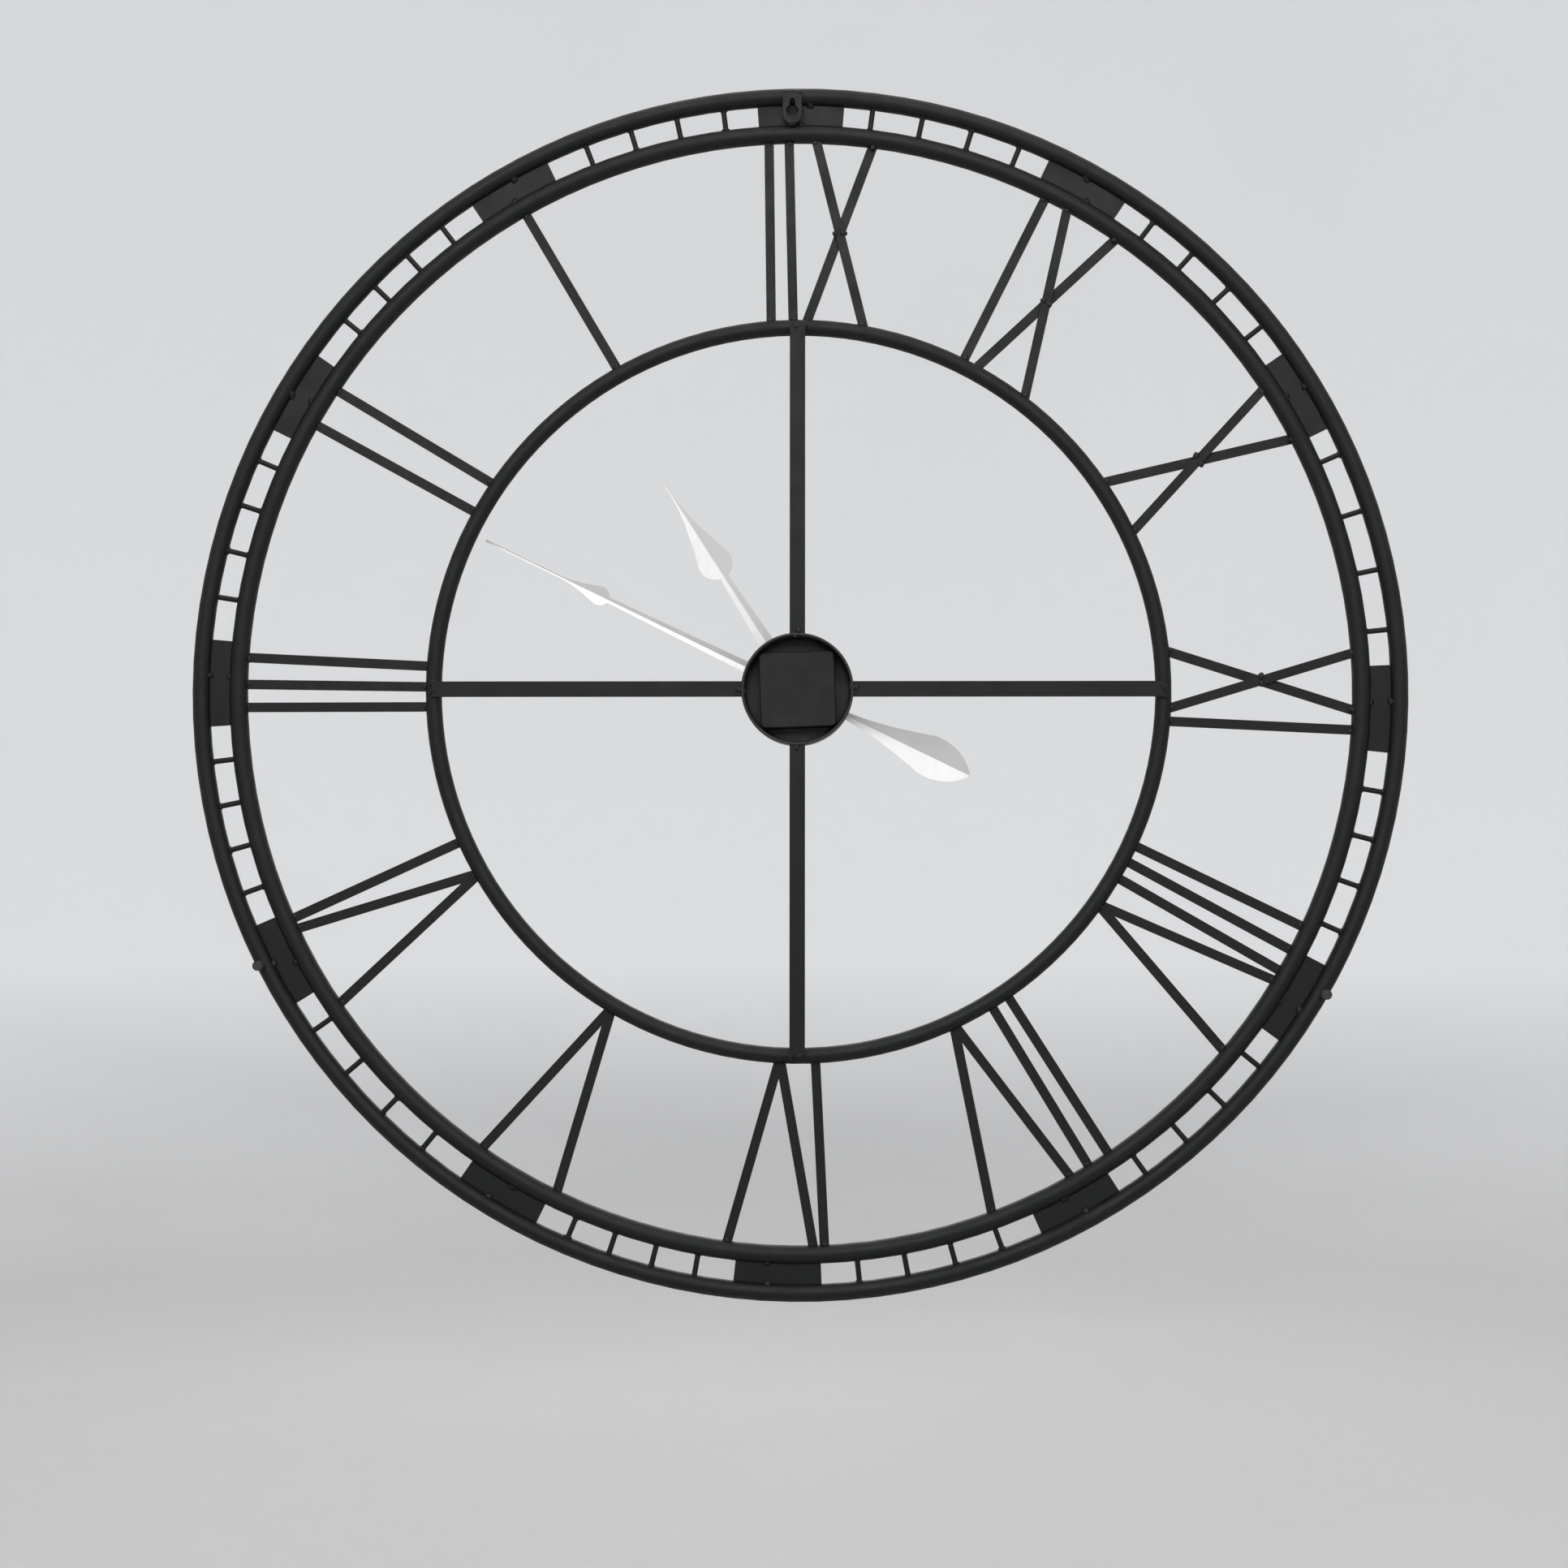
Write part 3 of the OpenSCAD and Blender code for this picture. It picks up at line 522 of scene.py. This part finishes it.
def numeral_welds():
    """A bead where each numeral bar meets a ring, and two where crossed bars touch."""
    mesh, rng = bmesh.new(), random.Random(5)
    for node in NODES:
        if not node.startswith("numeral"):
            continue
        for points in solids(node):
            back = max(p.y for p in points)
            outer = meets(points, chapter_ring.edge(-1, back))
            inner = meets(points, inner_ring.edge(1, back))
            for ring, side, angles in ((chapter_ring, -1, outer), (inner_ring, 1, inner)):
                for angle in angles:
                    slip = rng.uniform(-1.2, 1.2) * MM / ring.mid
                    at = on_dial(angle + slip, ring.edge(side, back) + side * 0.5 * MM, back)
                    bead(mesh, at, WALL, 2.1 * MM, rng.uniform(0.5, 0.8) * MM, rng)
            if len(outer) == 2 and len(inner) == 2:
                cross = crossing(outer, inner, back)
                across = outward(clock_angle(cross) + math.pi / 2)
                for side in (-1, 1):
                    slip = Vector((rng.uniform(-1, 1), 0, rng.uniform(-1, 1))) * 0.7 * MM
                    at = cross + across * side * 2.9 * MM + slip - WALL * 0.9 * MM
                    bead(mesh, at, WALL, 2.6 * MM, 2.0 * MM, rng)
    weld_piece("numeral_welds", mesh)


def crossing(outer, inner, y):
    """Where the two bars of an X cross, from the clock angles of their ends."""
    top = [on_dial(a, chapter_ring.edge(-1, y), y) for a in sorted(outer)]
    foot = [on_dial(a, inner_ring.edge(1, y), y) for a in sorted(inner)]
    run, other, gap = foot[1] - top[0], foot[0] - top[1], top[1] - top[0]
    turn = run.x * other.z - run.z * other.x
    return top[0] + run * ((gap.x * other.z - gap.z * other.x) / turn)


def rod_welds():
    """A collar of weld at both ends of each minute rod."""
    mesh, rng = bmesh.new(), random.Random(7)
    for points in solids("minute_rods"):
        middle = sum(points, Vector()) / len(points)
        angle = clock_angle(middle)
        for ring, side, across in ((outer_ring, -1, 2.8 * MM), (chapter_ring, 1, 2.4 * MM)):
            at = on_dial(angle, ring.edge(side, middle.y), middle.y)
            bead(mesh, at, outward(angle) * -side, across * rng.uniform(0.9, 1.1), 1.3 * MM, rng)
    weld_piece("rod_welds", mesh)


def spoke_welds():
    """Beads at each spoke's ends: on the inner ring, beside the cup and inside its wall."""
    mesh, rng = bmesh.new(), random.Random(11)
    cup_low, cup_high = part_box("hub_cup")
    rim = (cup_high.x - cup_low.x) / 2
    degree = math.radians(1)
    ring_back = inner_ring.centre.y + inner_ring.tube
    for node in NODES:
        if not node.startswith("spoke"):
            continue
        low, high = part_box(node)
        middle = (low + high) / 2
        angle, back = clock_angle(middle), high.y
        tip = from_axis(middle) + max(high.x - low.x, high.z - low.z) / 2
        at_tip = on_dial(angle + 0.3 * degree, tip - 0.2 * MM, back - 1.2 * MM)
        bead(mesh, at_tip, outward(angle, 1), 2.6 * MM, 1.7 * MM, rng)
        on_ring = on_dial(angle - 1.1 * degree, inner_ring.mid, ring_back)
        bead(mesh, on_ring, WALL, 2.5 * MM, 1.2 * MM, rng)
        beside_cup = on_dial(angle + rng.uniform(-2, 2) * degree, rim + 1.6 * MM, back)
        bead(mesh, beside_cup, WALL, 2.3 * MM, 1.3 * MM, rng)
        in_cup = on_dial(angle + rng.uniform(-3, 3) * degree, rim - 2.6 * MM, back - 1.5 * MM)
        bead(mesh, in_cup, -outward(angle), 2.6 * MM, 1.4 * MM, rng)
    weld_piece("spoke_welds", mesh)


def hanger_welds():
    """Three beads along the top of the hanger plate, and one under its foot."""
    mesh, rng = bmesh.new(), random.Random(13)
    low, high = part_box("hanger_plate")
    middle = (low.x + high.x) / 2
    for across, size in ((-5.4, 2.4), (-1.2, 1.9), (4.8, 2.3)):
        at = Vector((middle + across * MM, low.y + 0.6 * MM, high.z + 0.5 * MM))
        bead(mesh, at, Vector((0, 1, 1)).normalized(), size * MM, 1.3 * MM, rng)
    at = Vector((middle, low.y + 0.4 * MM, low.z + 0.2 * MM))
    bead(mesh, at, Vector((0, 1, -1)).normalized(), 2.8 * MM, 1.3 * MM, rng)
    weld_piece("hanger_welds", mesh)


# ---------------------------------------------------------------- studio


def bowl():
    """A pale floor that sweeps up into a wall all round, far outside every camera."""
    mesh = bmesh.new()
    flat, sweep, top, steps = 2.6, 2.4, 3.2, 10
    profile = [(0.0, FLOOR), (flat, FLOOR)]
    for step in range(1, steps + 1):
        turn = math.radians(90 / steps * step)
        profile.append((flat + sweep * math.sin(turn), FLOOR + sweep * (1 - math.cos(turn))))
    profile.append((flat + sweep, FLOOR + sweep + top))
    verts = [mesh.verts.new((r, 0, z)) for r, z in profile]
    edges = [mesh.edges.new(pair) for pair in zip(verts, verts[1:])]
    bmesh.ops.spin(
        mesh,
        geom=verts + edges,
        axis=(0, 0, 1),
        cent=(0, 0, 0),
        dvec=(0, 0, 0),
        angle=math.tau,
        steps=96,
        use_merge=True,
    )
    bmesh.ops.remove_doubles(mesh, verts=mesh.verts, dist=0.1 * MM)
    bmesh.ops.recalc_face_normals(mesh, faces=mesh.faces)
    bmesh.ops.reverse_faces(mesh, faces=mesh.faces)
    data = bpy.data.meshes.new("studio_bowl")
    mesh.to_mesh(data)
    mesh.free()
    data.shade_smooth()
    data.materials.append(studio_surface())
    made = bpy.data.objects.new("studio_bowl", data)
    bpy.context.scene.collection.objects.link(made)


def soft_light(name, at, target, size, watts):
    light = bpy.data.lights.new(name, "AREA")
    light.shape = "RECTANGLE"
    light.size, light.size_y = size
    light.energy = watts
    made = bpy.data.objects.new(name, light)
    made.location = at
    made.rotation_euler = (Vector(target) - Vector(at)).to_track_quat("-Z", "Y").to_euler()
    made.visible_camera = False
    bpy.context.scene.collection.objects.link(made)


def studio():
    bowl()
    soft_light("sky_panel", (0.0, 0.0, 3.0), dial, (3.0, 3.0), 34)
    soft_light("panel_behind", (0.1, 3.2, 1.6), (0, -5, 0.6), (3.2, 2.7), 84)
    soft_light("panel_front", (-0.1, -3.2, 1.6), (0, 5, 0.6), (3.2, 2.7), 84)
    world = bpy.data.worlds.new("soft_daylight")
    world.use_nodes = True
    background = world.node_tree.nodes["Background"]
    background.inputs["Color"].default_value = (0.985, 0.992, 1.0, 1)
    background.inputs["Strength"].default_value = 0.82
    bpy.context.scene.world = world
    bpy.context.scene.view_settings.view_transform = "Standard"


def camera():
    """Nearly square on to the clock's back, a little below its middle, 1.8 m away."""
    data = bpy.data.cameras.new("camera")
    data.sensor_width = 36
    data.lens = 55.9
    data.clip_end = 50
    made = bpy.data.objects.new("camera", data)
    made.location = (-0.0304, 1.7902, -0.5682)
    made.rotation_euler = Euler([math.radians(turn) for turn in (92.142, -0.043, -178.844)])
    bpy.context.scene.collection.objects.link(made)
    bpy.context.scene.camera = made


camera()
studio()
finish_nodes()
plate_welds()
numeral_welds()
rod_welds()
spoke_welds()
hanger_welds()
